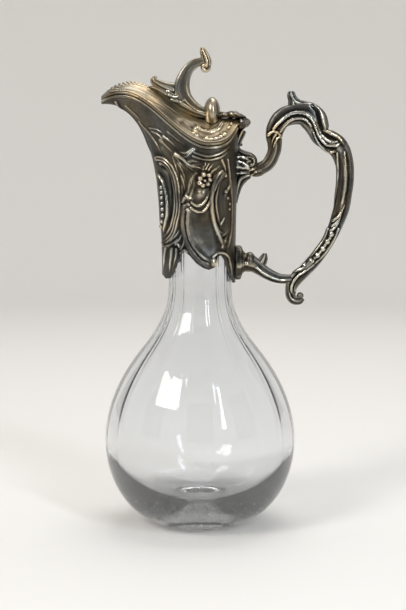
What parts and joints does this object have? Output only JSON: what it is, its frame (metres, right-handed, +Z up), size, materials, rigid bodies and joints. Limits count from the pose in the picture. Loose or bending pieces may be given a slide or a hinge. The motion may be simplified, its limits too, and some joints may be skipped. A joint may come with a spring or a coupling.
{
  "type": "claret jug",
  "caption": "Fluted glass claret jug with a cast silver-plated collar and spout, an S-scroll handle and a hinged lid with a thumb scroll.",
  "frame": {"origin": "centre of the flat base of the glass, on the table", "axes": "+Z up along the glass, -X towards the spout, +X towards the handle, +Y across the jug along the hinge pin"},
  "size_m": [0.16, 0.1218, 0.3038],
  "materials": {
    "glass": "clear, slightly grey, with soft optic flutes inside and a little haze",
    "plaster": "matt, hidden in the collar",
    "plate": "aged silver plate on cast white metal, worn bright on the high places and dark in the hollows",
    "plate_lid": "aged silver plate with a warm, yellowish tarnish",
    "plate_inner": "dull inner silver plate",
    "pin": "drawn wire, slightly worn"
  },
  "bodies": {
    "jug": {"glass_body": "glass", "neck_plaster": "plaster", "throat_ring": "plate_inner", "collar_mount": "plate", "rim_moulding": "plate", "collar_hinge_leaf": "plate", "hinge_pin": "pin", "handle_socket": "plate", "handle": "plate", "handle_bracket": "plate"},
    "lid": {"lid_shell": "plate_lid", "lid_border_left": "plate_lid", "lid_border_right": "plate_lid", "lid_bezel": "plate_inner", "lid_hinge_leaf": "plate", "thumb_scroll": "plate_lid"}
  },
  "joints": [
    {"name": "lid_hinge", "type": "hinge", "parent": "jug", "child": "lid", "pos_m": [0.0292, 0, 0.2556], "axis": [0, 1, 0], "range_deg": [0, 95]}
  ]
}
